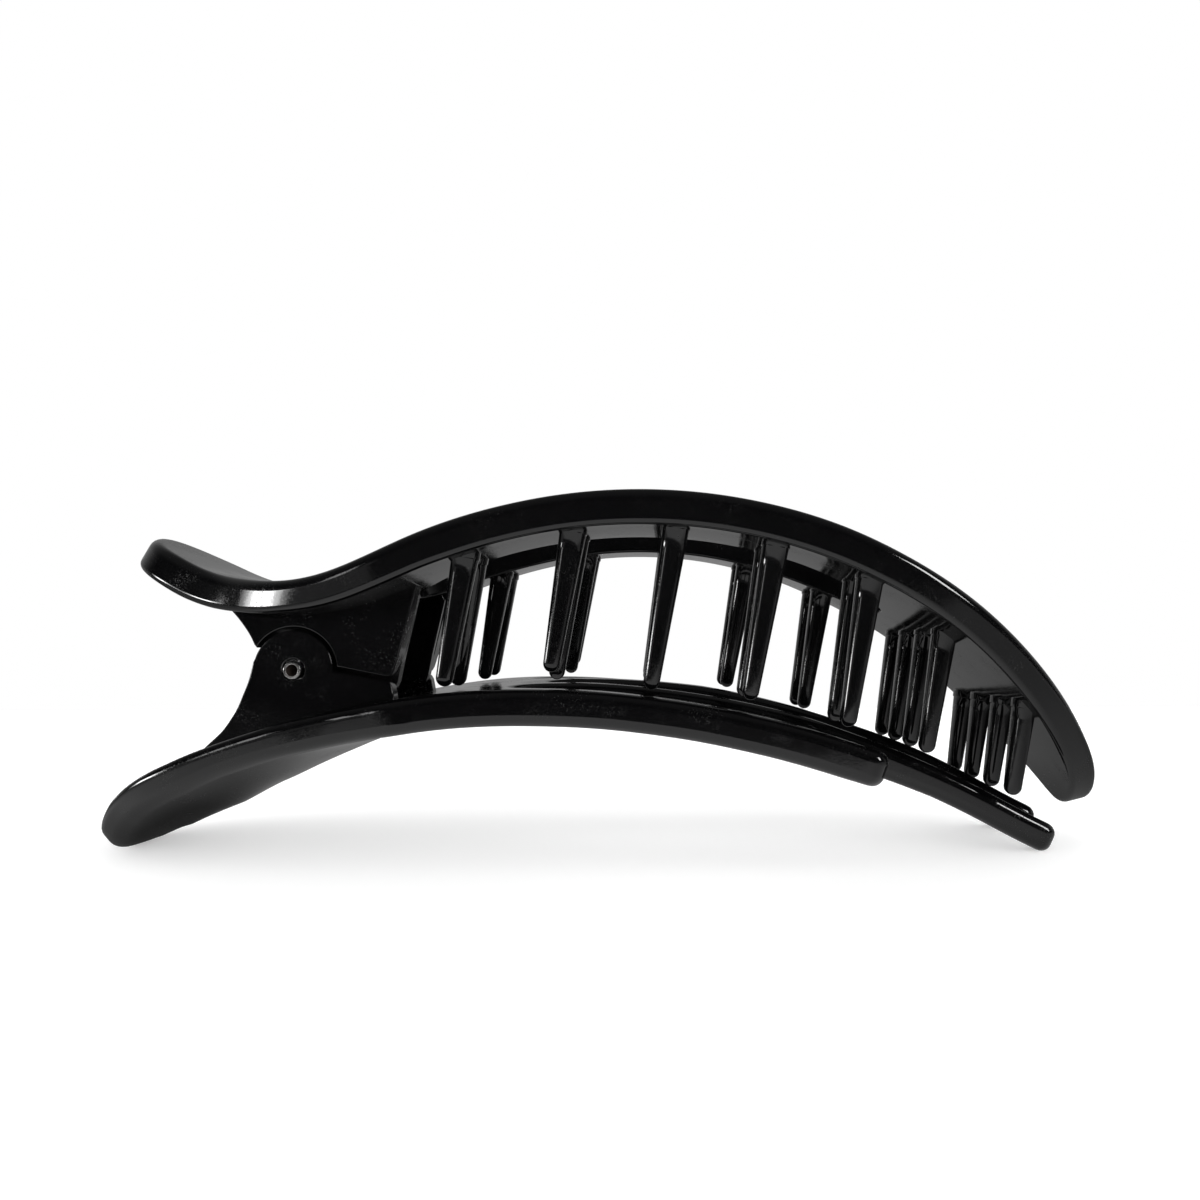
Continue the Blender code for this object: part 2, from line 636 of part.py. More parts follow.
def tube(name, path, radius, sides, material):
    points = []
    faces = []
    line = [np.array(p, float) for p in path]
    normal = np.array([0.0, 1.0, 0.0])
    for i, centre in enumerate(line):
        before = line[max(i - 1, 0)]
        after = line[min(i + 1, len(line) - 1)]
        direction = (after - before) / np.linalg.norm(after - before)
        side = normal - direction * (normal @ direction)
        side /= np.linalg.norm(side)
        other = np.cross(direction, side)
        for k in range(sides):
            a = 2 * math.pi * k / sides
            points.append(tuple(centre + radius * (math.cos(a) * side + math.sin(a) * other)))
    for i in range(len(line) - 1):
        for k in range(sides):
            j = (k + 1) % sides
            faces.append((i * sides + k, i * sides + j, (i + 1) * sides + j, (i + 1) * sides + k))
    faces.append(tuple(range(sides)))
    faces.append(tuple(range((len(line) - 1) * sides, len(line) * sides)))
    item = mesh_object(name, points, faces, material)
    shade(item, 50)
    return item


def settle():
    """Turn and shift that lay the tab's edge and the arms' ends on z = 0, with the clip over the origin."""
    about = Matrix.Translation((REST_ABOUT[0] * MM, 0.0, REST_ABOUT[1] * MM))
    turn = Matrix.Rotation(-math.radians(REST_TURN), 4, "Y")
    shift = Matrix.Translation((REST_SHIFT[0] * MM, 0.0, REST_SHIFT[1] * MM))
    return shift @ about @ turn @ about.inverted()


def move_origin(item, point):
    """Puts the object's origin at the point without moving its mesh."""
    for vertex in item.data.vertices:
        vertex.co -= point
    item.location = point


def main():
    clear_scene()
    plastic = plain_material("black_plastic", (0.012, 0.012, 0.013), 0.12, 0.0)
    metal = plain_material("pin_steel", (0.62, 0.61, 0.60), 0.25, 1.0)
    wire = plain_material("spring_steel", (0.45, 0.45, 0.45), 0.3, 1.0)
    upper = upper_jaw(plastic)
    lower_jaw(plastic)
    hinge_pin(metal)
    tube("torsion_spring", spring_path(), WIRE, 6, wire)
    rest = settle()
    for item in bpy.data.objects:
        item.data.transform(rest)
    move_origin(upper, rest @ Vector((PIN_X * MM, 0.0, PIN_Z * MM)))


main()
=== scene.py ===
import math

import bmesh
import bpy
import numpy as np
from mathutils import Matrix, Vector
from mathutils.geometry import delaunay_2d_cdt


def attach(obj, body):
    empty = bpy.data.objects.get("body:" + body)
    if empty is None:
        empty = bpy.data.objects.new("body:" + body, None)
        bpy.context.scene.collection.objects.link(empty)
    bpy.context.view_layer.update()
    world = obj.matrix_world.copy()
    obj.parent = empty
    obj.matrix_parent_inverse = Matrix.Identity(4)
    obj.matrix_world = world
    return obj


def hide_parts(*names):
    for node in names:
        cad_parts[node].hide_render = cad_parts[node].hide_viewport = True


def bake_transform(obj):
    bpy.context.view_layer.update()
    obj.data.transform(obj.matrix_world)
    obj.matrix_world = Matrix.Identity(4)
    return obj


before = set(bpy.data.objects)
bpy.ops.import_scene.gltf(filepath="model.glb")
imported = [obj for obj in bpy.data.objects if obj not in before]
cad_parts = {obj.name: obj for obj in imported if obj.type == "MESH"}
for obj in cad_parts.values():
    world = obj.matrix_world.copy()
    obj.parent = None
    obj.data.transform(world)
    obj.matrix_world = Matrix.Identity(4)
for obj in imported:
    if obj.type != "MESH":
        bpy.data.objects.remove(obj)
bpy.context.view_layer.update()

MM = 0.001

# Top line of each jaw, seen from the side: x, z, thickness (mm)
UPPER_LINE = [
    (-66.80, 45.15, 3.9), (-64.90, 44.20, 4.0), (-61.40, 42.12, 4.1), (-58.60, 40.62, 4.2),
    (-55.10, 38.90, 4.3), (-51.30, 37.67, 4.3), (-47.70, 37.00, 4.2), (-43.28, 36.50, 4.1),
    (-41.04, 36.45, 4.0), (-38.83, 36.60, 4.0), (-34.57, 37.45, 4.1), (-30.34, 38.95, 4.2),
    (-24.13, 41.60, 4.3), (-20.10, 43.10, 4.4), (-12.20, 45.30, 4.4), (-4.32, 46.65, 4.4),
    (4.54, 47.12, 4.4), (13.39, 46.50, 4.4), (21.24, 45.00, 4.4), (29.09, 42.55, 4.4),
    (37.05, 38.90, 4.35), (45.75, 33.72, 4.2), (50.42, 30.18, 4.15), (55.40, 25.65, 4.1),
    (61.00, 19.50, 4.0), (64.50, 15.12, 3.95), (66.70, 12.05, 3.9), (68.42, 8.88, 3.9),
    (69.58, 5.40, 3.9), (70.10, 2.60, 3.9),
]
LOWER_LINE = [
    (-73.60, 1.30, 3.6), (-71.60, 2.70, 3.8), (-68.10, 5.60, 4.1), (-64.29, 9.07, 4.3),
    (-59.99, 11.70, 4.4), (-55.18, 13.90, 4.35), (-50.08, 15.80, 4.1), (-44.56, 17.55, 4.15),
    (-39.08, 19.00, 4.25), (-28.22, 21.10, 4.45), (-20.65, 22.12, 4.5), (-12.60, 22.55, 4.55),
    (-6.43, 22.50, 4.6), (-0.30, 22.15, 4.6), (5.84, 21.45, 4.6), (11.93, 20.50, 4.6),
    (18.08, 19.25, 4.65), (24.21, 17.70, 4.65), (30.24, 15.80, 4.6), (38.94, 12.66, 4.3),
    (45.51, 9.90, 4.0), (52.04, 6.70, 3.95), (56.80, 4.20, 3.95), (62.00, 1.70, 3.95),
]
# Half width of each jaw along that line: x, half width (mm)
UPPER_WIDTH = [
    (-65.0, 0.0), (-64.7, 3.0), (-63.8, 6.0), (-62.3, 9.0), (-60.4, 11.0), (-58.0, 12.3),
    (-55.0, 13.4), (-52.0, 14.9), (-49.0, 16.9), (-45.7, 19.2), (-42.0, 21.3), (-37.5, 23.1),
    (-31.4, 24.7), (-25.4, 25.4), (-15.4, 25.8), (0.0, 25.8), (15.0, 25.8), (28.6, 25.8),
    (34.6, 25.5), (40.6, 24.6), (46.7, 22.9), (52.8, 20.5), (59.0, 17.3), (63.2, 13.9),
    (66.3, 10.3), (68.7, 5.9), (69.6, 0.0),
]
LOWER_TAB = [
    (-71.5, 0.0), (-71.1, 5.5), (-69.8, 10.6), (-66.9, 15.4), (-62.2, 19.1), (-55.7, 21.4),
    (-48.6, 22.5), (-40.5, 23.5), (-32.5, 24.4), (-24.1, 25.2),
]
# Crown of the lower tab, how far its middle lies below its edges: x, drop, half width (mm)
LOWER_CROWN = [
    (-72.0, 0.0, 13.0), (-68.5, 1.8, 15.5), (-63.9, 3.8, 18.6), (-55.7, 4.5, 21.2), (-47.6, 3.7, 22.3),
    (-42.6, 2.8, 22.9), (-38.1, 1.95, 23.5), (-34.5, 1.2, 24.1), (-28.1, 0.2, 24.9), (-22.0, 0.0, 25.4),
    (60.0, 0.0, 25.4),
]
# How the crown rises from the middle to the edge: 1 straight, 2 a parabola
CROWN_POWER = 1.8
# Hole of the upper jaw: half width, and x of its left tip, straight part's ends and right tip (mm)
HOLE_HALF_WIDTH = 11.8
HOLE_ENDS = (-29.6, -10.4, 26.0, 41.6)
# Edge radii of the upper jaw, its hole and the lower jaw (mm)
UPPER_ROUND = 1.35
HOLE_ROUND = 0.55
LOWER_ROUND = 1.4
# Radius of the upper jaw's lower edges, as a share of the upper ones
UPPER_UNDER = 0.6
# How much thicker the upper jaw is along its middle, and how far from it (mm)
HOLE_SAG = 0.4
SAG_REACH = 24.5

# Arms of the lower jaw: inner edge, outer edge (mm from the middle), end of the arm along x
OUTER_ARM = (19.6, 25.3, 35.6)
INNER_ARM = (6.4, 11.4, 61.4)
MIDDLE_ARM = (0.0, 2.5, 61.4)
SLOT_STARTS = (-8.0, -6.0)
# How far an arm's rounded end reaches, as a share of half its width
ARM_END = 0.8
# How far the inner arms and the middle one rise above the outer line: x, inner, middle (mm)
ARM_RISE = [
    (-15.0, 0.0, 0.0), (-2.0, 0.4, 0.7), (13.0, 0.7, 1.5), (28.0, 0.9, 1.7), (43.0, 0.6, 1.9),
    (61.0, 0.35, 1.5),
]

# Teeth: foot x, foot z, tip x, tip z, foot y outer, tip y outer, foot y inner, tip y inner, how much
# longer the inner ones are, width along x at the foot (mm)
TEETH = [
    (-17.68, 39.02, -20.36, 22.90, 20.9, 22.0, 13.6, 11.8, 0.3, 3.3),
    (-3.98, 42.09, -6.90, 24.60, 21.6, 22.3, 13.8, 14.0, 1.2, 3.3),
    (8.95, 42.47, 5.60, 22.35, 22.1, 22.3, 13.8, 14.0, 0.4, 3.3),
    (21.39, 40.08, 17.95, 20.95, 22.1, 22.3, 13.8, 14.6, 0.0, 3.3),
    (33.20, 35.95, 30.16, 17.50, 22.0, 22.3, 13.4, 13.6, 0.0, 3.3),
    (45.00, 28.85, 42.45, 13.20, 13.1, 13.1, 4.5, 4.4, 0.0, 3.1),
    (55.65, 19.15, 53.95, 7.45, 13.0, 13.0, 4.5, 4.4, 0.0, 2.8),
]
TOOTH_FOOT_ACROSS = 3.5
TOOTH_TIP = (2.0, 2.3)
# Half of a tooth's section over its width, and how square that section is (1 round, 0 square)
TOOTH_HALF = 0.505
TOOTH_POWER = 0.66
# Length of a tooth's rounded end, radius of the flare at its foot, and how deep it is sunk (mm)
TOOTH_END = 1.05
TOOTH_FLARE = 0.12
TOOTH_SUNK = 1.4

# Hinge pin: centre x, z; outer and bore radius, half length, radius of its rims, radius of the holes
# that it runs in (mm)
PIN_X = -41.80
PIN_Z = 24.86
PIN_RADIUS = 1.15
PIN_BORE = 0.78
PIN_HALF = 14.7
PIN_LIP = 0.08
PIN_HOLE = 1.5
# Hinge cheeks: inner and outer plane as distance from the middle (mm)
LOWER_EAR = (11.6, 14.2)
UPPER_PANEL = (10.2, 14.0)
UPPER_EAR = (8.8, 11.25)
# Arcs round the pin: radius (mm), where each starts and ends (degrees)
BOSS_ARC = (5.3, 162, -2)
EAR_ARC = (4.6, 180, 360)
PANEL_ARC = (5.75, 148, 4)
CHEEK_ROUND = 0.2

# Side outlines of the hinge cheeks: x, z (mm)
PANEL_LEFT = [(-51.9, 34.6), (-49.6, 32.4), (-48.3, 30.7), (-47.4, 29.2), (-47.0, 28.3)]
PANEL_RIGHT = [
    (-34.95, 25.03), (-29.5, 23.87), (-28.87, 23.97), (-28.52, 24.56), (-27.82, 26.7), (-25.62, 35.4),
]
WEB_LEFT = [
    (-55.5, 12.3), (-53.9, 14.4), (-52.4, 15.8), (-51.1, 17.1), (-50.1, 18.5), (-49.3, 19.8),
    (-48.6, 21.4), (-47.9, 23.1), (-47.4, 24.8), (-47.1, 26.0),
]
WEB_RIGHT = [(-35.4, 24.52), (-29.74, 23.37), (-29.03, 23.24), (-28.67, 22.63), (-28.42, 21.2)]
EAR_TOP = [
    (-36.6, 23.7), (-30.2, 22.2), (-29.0, 22.3), (-28.6, 23.2), (-27.9, 26.6), (-25.9, 34.9),
    (-27.4, 38.0), (-34.2, 35.6), (-45.4, 34.6), (-47.0, 28.9),
]
# Where panel and web sink into their jaws: x, depth below the jaw's top (mm), and the share of the
# lower tab's crown that the web follows
PANEL_TOP = (-25.4, -29.0, -33.5, -38.5, -43.5, -48.0, -51.6)
PANEL_SUNK = 2.1
WEB_FOOT = (-28.6, -34.0, -40.0, -46.0, -51.0, -55.6)
WEB_SUNK = 2.6
WEB_CROWN = 0.6

# Spring: radius of wire and coil (mm), angles where the coil starts and ends (degrees), length of the
# coil, ends of the legs x, z, and how far they stand out sideways (mm)
WIRE = 0.55
COIL = 2.55
COIL_START = 58.0
COIL_END = -1491.0
COIL_LENGTH = 8.0
UPPER_LEG = (-50.8, 31.9)
LOWER_LEG = (-53.0, 13.2)
LEG_ASIDE = 0.2

# How the clip lies: turned about x, z by an angle with the tip going up (degrees), then moved by
# x, z (mm)
REST_ABOUT = (4.60, 28.42)
REST_TURN = 0.209
REST_SHIFT = (0.743, 0.493)

# Fineness of the meshes: steps of a rounded edge, points of a curve before it is resampled, spacing
# of the points on the jaws and on the cheeks (mm), sides and steps of the round pieces
EDGE_STEPS = 6
DENSE = 6000
CAP_SPACING = 2.0
CHEEK_SPACING = 2.5
TOOTH_SIDES = 28
PIN_SIDES = 72
WIRE_SIDES = 16
COIL_STEPS = 36
HOLE_STEPS = 48
# Outlines: points, and the length that one radian of turn is worth (mm)
UPPER_POINTS, UPPER_BEND = 420, 6.0
HOLE_POINTS, HOLE_BEND = 190, 4.0
LOWER_POINTS, LOWER_BEND = 860, 2.6
# Rings that guard an edge's curve: inset of the outer one, drop of the inner one, in edge radii
GUARD_INSET = 1.2
GUARD_DROP = 1.12
# Smallest cosine that stretches a mitre, and height of a staggered row over its spacing
MITRE_LIMIT = 0.6
ROW_HEIGHT = 0.87
# Angle over which an edge of a mesh stays sharp (degrees), on plates and on teeth
SHARP = 40.0
TOOTH_SHARP = 60.0

# Camera: eye (m), roll (degrees), focal length as a share of the image width, principal point (px of 1200)
EYE = (0.005343, -0.153, 0.028913)
ROLL = 0.211
FOCAL = 1045.0 / 1200.0
SENSOR = 36.0
IMAGE = 1200.0
PRINCIPAL = (642.0, 641.0)
CLIP_START = 0.01

# Black plastic: colour of the body and of its specks, roughness and how much the marks add, scales of
# the orange peel, rubbed patches, grain and specks, and depth of the relief (m)
BODY_COLOUR = (0.0008, 0.0008, 0.0009, 1.0)
SPECK_COLOUR = (0.05, 0.05, 0.055, 1.0)
BODY_ROUGH = 0.07
MARK_ROUGH = 0.3
PEEL_SCALE = 260.0
RUB_SCALE = 170.0
GRAIN_SCALE = 4200.0
SPECK_SCALE = 6000.0
BODY_RELIEF = 0.000008
# Steel: tint, roughness from and to; then the brown inside the bore, how much duller it is, the width
# of its edge (mm), and depth of the relief (m)
PIN_STEEL = ((0.62, 0.61, 0.60), 0.12, 0.3)
WIRE_STEEL = ((0.45, 0.45, 0.45), 0.2, 0.35)
BORE_COLOUR = (0.018, 0.011, 0.007, 1.0)
BORE_ROUGH = 0.4
BORE_EDGE = 0.06
STEEL_DARK = 0.55
STEEL_RELIEF = 0.00003

# World: radiance of the dome that lights the floor, at the horizon and overhead, and of the grey room
# that the gloss sees, in front, behind and overhead, with the directions (y or z) between which each
# passes into the next
WHITE = (1.0, 1.0, 1.0, 1.0)
HORIZON = 9.0
DOME = 0.5
DOME_TURN = (0.05, 0.45)
ROOM_FRONT = 0.006
ROOM_BACK = 0.30
ROOM_TURN = (-0.15, 0.55)
ROOM_TOP = 0.10
ROOM_RISE = (0.35, 0.95)
# Floor: half side (m), tone of its paper, its own glow, and its diffuse tone in the clip's gloss
FLOOR_HALF = 0.29
FLOOR_TONE = (0.88, 0.9)
FLOOR_GLOW = 0.3
FLOOR_IN_GLOSS = 0.06
# Painted light on the floor in the gloss, a glow set by position: before the clip and behind it, the y
# between which it changes, how far in front it ends and over what half width it fades there (m)
GLOW_FRONT = 0.8
GLOW_BACK = 0.17
GLOW_TURN = (-0.03, 0.02)
GLOW_REACH = 0.15
GLOW_FADE = 0.02
# Its share at the left and right, how far its middle lies to the left, and the distances from there
# between which it falls (m)
GLOW_SIDES = 0.35
GLOW_SHIFT = 0.018
GLOW_SPAN = (0.05, 0.12)
# Painted shadow in that glow round the lower tab's tip: its centre, the share left there, and from and to
# what distance (m)
PAINTED_SHADOW_AT = (-0.064, 0.0, 0.0)
PAINTED_SHADOW_SHARE = 0.05
PAINTED_SHADOW_SPAN = (0.006, 0.028)
# Softboxes: name, place (m), size (m), radiance; each looks at the clip's middle
STUDIO_MIDDLE = (0.0, 0.0, 0.025)
SOFTBOXES = [
    ("box_left", (-0.82, -0.25, 0.09), (0.20, 0.09), 16.0),
    ("box_left_rim", (-0.84, -0.26, 0.09), (0.32, 0.13), 8.0),
    ("box_left_haze", (-0.86, -0.27, 0.09), (0.44, 0.16), 3.0),
    ("glow_left", (-0.66, -0.50, 0.04), (0.75, 0.24), 0.25),
    ("box_front", (-0.60, -0.59, 0.22), (0.13, 0.16), 4.0),
    ("box_right", (0.70, -0.42, 0.36), (0.18, 0.34), 16.0),
]


def spline(xs, ys):
    """Natural cubic through the points, as a function of an array."""
    xs = np.asarray(xs, float)
    ys = np.asarray(ys, float)
    count = len(xs)
    h = np.diff(xs)
    a = np.eye(count)
    b = np.zeros(count)
    for i in range(1, count - 1):
        a[i, i - 1] = h[i - 1]
        a[i, i] = 2 * (h[i - 1] + h[i])
        a[i, i + 1] = h[i]
        b[i] = 6 * ((ys[i + 1] - ys[i]) / h[i] - (ys[i] - ys[i - 1]) / h[i - 1])
    m = np.linalg.solve(a, b)

    def value(x):
        x = np.asarray(x, float)
        i = np.clip(np.searchsorted(xs, x) - 1, 0, count - 2)
        p = xs[i + 1] - x
        q = x - xs[i]
        w = h[i]
        curve = (m[i] * p ** 3 + m[i + 1] * q ** 3) / (6 * w)
        return curve + (ys[i] / w - m[i] * w / 6) * p + (ys[i + 1] / w - m[i + 1] * w / 6) * q

    return value


class Line:
    """Top line of a jaw: length along it to place, upward normal and thickness."""

    def __init__(self, table, samples=2400):
        points = np.array(table)
        steps = np.hypot(np.diff(points[:, 0]), np.diff(points[:, 1]))
        along = np.concatenate([[0.0], np.cumsum(steps)])
        u = np.linspace(0.0, along[-1], samples)
        self.x = spline(along, points[:, 0])(u)
        self.z = spline(along, points[:, 1])(u)
        self.s = np.concatenate([[0.0], np.cumsum(np.hypot(np.diff(self.x), np.diff(self.z)))])
        self.t = np.interp(u, along, points[:, 2])
        dx = np.gradient(self.x, self.s)
        dz = np.gradient(self.z, self.s)
        size = np.hypot(dx, dz)
        self.dx = dx / size
        self.dz = dz / size

    def length_at(self, x):
        return np.interp(x, self.x, self.s)

    def place(self, s, y, n):
        """World points (mm) for lengths s, sides y and heights n above the top line."""
        x = np.interp(s, self.s, self.x) - np.interp(s, self.s, self.dz) * n
        z = np.interp(s, self.s, self.z) + np.interp(s, self.s, self.dx) * n
        return np.stack([x, np.broadcast_to(y, x.shape), z], axis=-1)

    def thickness(self, s):
        return np.interp(s, self.s, self.t)


def closed_spline(points, count):
    """Dense closed curve through the points."""
    ring = np.array(points[-3:] + points + points[:3])
    steps = np.hypot(np.diff(ring[:, 0]), np.diff(ring[:, 1])) ** 0.75
    along = np.concatenate([[0.0], np.cumsum(steps)])
    u = np.linspace(along[3], along[3 + len(points)], count, endpoint=False)
    return np.stack([spline(along, ring[:, 0])(u), spline(along, ring[:, 1])(u)], axis=1)


def open_spline(points, count):
    """Smooth curve through the points, ends included."""
    ring = np.array(points)
    steps = np.hypot(np.diff(ring[:, 0]), np.diff(ring[:, 1]))
    along = np.concatenate([[0.0], np.cumsum(steps)])
    u = np.linspace(0.0, along[-1], count)
    return list(zip(spline(along, ring[:, 0])(u), spline(along, ring[:, 1])(u)))


def resample(dense, count, bend):
    """Points round a closed curve, closer together where it turns. bend is the length that one radian
    is worth."""
    step = np.roll(dense, -1, axis=0) - dense
    heading = np.arctan2(step[:, 1], step[:, 0])
    turn = np.abs(np.angle(np.exp(1j * (np.roll(heading, -1) - heading))))
    measure = np.concatenate([[0.0], np.cumsum(np.hypot(step[:, 0], step[:, 1]) + bend * turn)])
    want = np.linspace(0.0, measure[-1], count, endpoint=False)
    closed = np.vstack([dense, dense[:1]])
    return np.array([np.interp(want, measure, closed[:, 0]), np.interp(want, measure, closed[:, 1])]).T


def inset(loop, distance):
    """The loop moved to its left by the distance."""
    before = loop - np.roll(loop, 1, axis=0)
    after = np.roll(loop, -1, axis=0) - loop
    before /= np.linalg.norm(before, axis=1)[:, None]
    after /= np.linalg.norm(after, axis=1)[:, None]
    n1 = np.stack([-before[:, 1], before[:, 0]], axis=1)
    n2 = np.stack([-after[:, 1], after[:, 0]], axis=1)
    mid = n1 + n2
    mid /= np.linalg.norm(mid, axis=1)[:, None]
    cosine = np.clip((mid * n1).sum(axis=1), MITRE_LIMIT, 1.0)
    return loop + mid * (distance / cosine)[:, None]


def inside(points, loops):
    """Which of the points lie inside an odd number of the loops."""
    x = points[:, 0][:, None]
    y = points[:, 1][:, None]
    odd = np.zeros(len(points), bool)
    for loop in loops:
        nxt = np.roll(loop, -1, axis=0)
        crosses = (loop[:, 1] > y) != (nxt[:, 1] > y)
        rise = np.where(nxt[:, 1] == loop[:, 1], 1.0, nxt[:, 1] - loop[:, 1])
        at = loop[:, 0] + (y - loop[:, 1]) * (nxt[:, 0] - loop[:, 0]) / rise
        odd ^= (crosses & (x < at)).sum(axis=1) % 2 == 1
    return odd


def spare_points(loops, spacing, clear):
    """Staggered grid points inside the loops and clear of them."""
    edge = np.vstack(loops)
    low = edge.min(axis=0)
    high = edge.max(axis=0)
    rows = np.arange(low[1], high[1], spacing * ROW_HEIGHT)
    grid = []
    for number, y in enumerate(rows):
        start = low[0] + spacing * 0.5 * (number % 2)
        grid += [(x, y) for x in np.arange(start, high[0], spacing)]
    grid = np.array(grid)
    grid = grid[inside(grid, loops)]
    away = [np.hypot(edge[:, 0] - x, edge[:, 1] - y).min() > clear for x, y in grid]
    return grid[np.array(away, bool)]


def triangulate(loops, extra):
    """Triangles of the area inside the loops. Vertex order: the loops' points, then the extra ones."""
    points = [tuple(p) for loop in loops for p in loop] + [tuple(p) for p in extra]
    edges = []
    start = 0
    for loop in loops:
        size = len(loop)
        edges += [(start + i, start + (i + 1) % size) for i in range(size)]
        start += size
    found = delaunay_2d_cdt([Vector(p) for p in points], edges, [], 1, 1e-6)
    vertices = np.array([tuple(v) for v in found[0]])
    faces = np.array(found[2])
    keep = inside(vertices[faces].mean(axis=1), loops)
    back = np.array([group[0] for group in found[3]])
    return back[faces[keep]]


def mesh_object(name, points, faces, material, sharp=SHARP):
    """A smooth object from points in mm, laid at rest."""
    mesh = bpy.data.meshes.new(name)
    mesh.from_pydata([tuple(c * MM for c in p) for p in points], [], [tuple(map(int, f)) for f in faces])
    mesh.validate()
    work = bmesh.new()
    work.from_mesh(mesh)
    bmesh.ops.recalc_face_normals(work, faces=work.faces)
    work.to_mesh(mesh)
    work.free()
    mesh.transform(REST)
    mesh.materials.append(material)
    mesh.shade_smooth()
    mesh.set_sharp_from_angle(angle=math.radians(sharp))
    item = bpy.data.objects.new(name, mesh)
    bpy.context.scene.collection.objects.link(item)
    return item


def edge_profile(steps, under):
    """Section of a plate's edge from its top to its bottom: inset, share of the thickness, lift, with
    the inset and lift in units of the edge's radius. The lower radius is under times the upper one.
    A close ring guards each end of each curve."""
    top = [(GUARD_INSET, 0.0, 0.0)]
    for k in range(steps + 1):
        angle = math.pi / 2 * k / steps
        top.append((1 - math.sin(angle), 0.0, math.cos(angle) - 1))
    top.append((0.0, 0.0, -GUARD_DROP))
    return top + [(0.0, 0.5, 0.0)] + [(e * under, 1.0, -lift * under) for e, _, lift in reversed(top)]


def bent_plate(name, surface, loops, rounds, spacing, material, under=1.0):
    """A plate with rounded edges, one radius for each loop. surface(s, y, share, lift) gives the points
    at a share of the thickness (0 on top, 1 below) moved up by lift."""
    profile = edge_profile(EDGE_STEPS, under)
    rings = []
    for e, share, lift in profile:
        for loop, radius in zip(loops, rounds):
            ring = inset(loop, e * radius)
            rings.append(surface(ring[:, 0], ring[:, 1], share, lift * radius))
    total = sum(len(loop) for loop in loops)
    faces = []
    for level in range(len(profile) - 1):
        offset = 0
        for loop in loops:
            size = len(loop)
            a = level * total + offset
            b = a + total
            faces += [(a + i, a + (i + 1) % size, b + (i + 1) % size, b + i) for i in range(size)]
            offset += size
    flat = [inset(loop, profile[0][0] * radius) for loop, radius in zip(loops, rounds)]
    extra = spare_points(flat, spacing, spacing * 0.6)
    cap = triangulate(flat, extra)
    start = len(profile) * total
    for share, first in ((0.0, 0), (1.0, (len(profile) - 1) * total)):
        if len(extra):
            rings.append(surface(extra[:, 0], extra[:, 1], share, 0.0))
        faces += [tuple(first + i if i < total else start + i - total for i in face) for face in cap]
        start += len(extra)
    return mesh_object(name, np.vstack(rings), faces, material)


def arc(centre, reach, start, end, steps):
    """Points round part of an ellipse."""
    angles = [math.radians(start + (end - start) * i / steps) for i in range(steps + 1)]
    return [(centre[0] + reach[0] * math.cos(a), centre[1] + reach[1] * math.sin(a)) for a in angles]


def run(first, last, steps=60):
    """Points inside a straight run, without its ends."""
    shares = [i / steps for i in range(1, steps)]
    return [(first[0] + (last[0] - first[0]) * k, first[1] + (last[1] - first[1]) * k) for k in shares]


def upper_surface(line):
    def place(s, y, share, lift):
        thick = line.thickness(s) + HOLE_SAG * (1 - np.minimum(1.0, (y / SAG_REACH) ** 2))
        return line.place(s, y, lift - thick * share)

    return place


def upper_outline(line):
    rows = [(line.length_at(x), w) for x, w in UPPER_WIDTH]
    ring = [(s, -w) for s, w in rows] + [(s, w) for s, w in reversed(rows[1:-1])]
    return resample(closed_spline(ring, DENSE), UPPER_POINTS, UPPER_BEND)


def hole_outline(line):
    left_tip, left, right, right_tip = [line.length_at(x) for x in HOLE_ENDS]
    ring = arc((right, 0.0), (right_tip - right, HOLE_HALF_WIDTH), -90, 90, 200)
    ring += run((right, HOLE_HALF_WIDTH), (left, HOLE_HALF_WIDTH))
    ring += arc((left, 0.0), (left - left_tip, HOLE_HALF_WIDTH), 90, 270, 200)
    ring += run((left, -HOLE_HALF_WIDTH), (right, -HOLE_HALF_WIDTH))
    return resample(np.array(ring), HOLE_POINTS, HOLE_BEND)[::-1]


def lower_surface(line):
    crown_s = [line.length_at(x) for x, _, _ in LOWER_CROWN]
    crown_drop = [c for _, c, _ in LOWER_CROWN]
    crown_half = [w for _, _, w in LOWER_CROWN]
    rise_s = [line.length_at(x) for x, _, _ in ARM_RISE]
    rise_inner = [r for _, r, _ in ARM_RISE]
    rise_middle = [r for _, _, r in ARM_RISE]
    knots = (MIDDLE_ARM[1], INNER_ARM[0], INNER_ARM[1], OUTER_ARM[0])

    def place(s, y, share, lift):
        inner = np.interp(s, rise_s, rise_inner)
        middle = np.interp(s, rise_s, rise_middle)
        side = np.abs(y)
        to_inner = np.clip((side - knots[0]) / (knots[1] - knots[0]), 0.0, 1.0)
        to_outer = np.clip((side - knots[2]) / (knots[3] - knots[2]), 0.0, 1.0)
        rise = middle + (inner - middle) * to_inner - inner * to_outer
        points = line.place(s, y, lift + rise - line.thickness(s) * share)
        half = np.interp(s, crown_s, crown_half)
        bowl = 1 - np.minimum(1.0, np.abs(y / half) ** CROWN_POWER)
        points[:, 2] -= np.interp(s, crown_s, crown_drop) * bowl
        return points

    return place


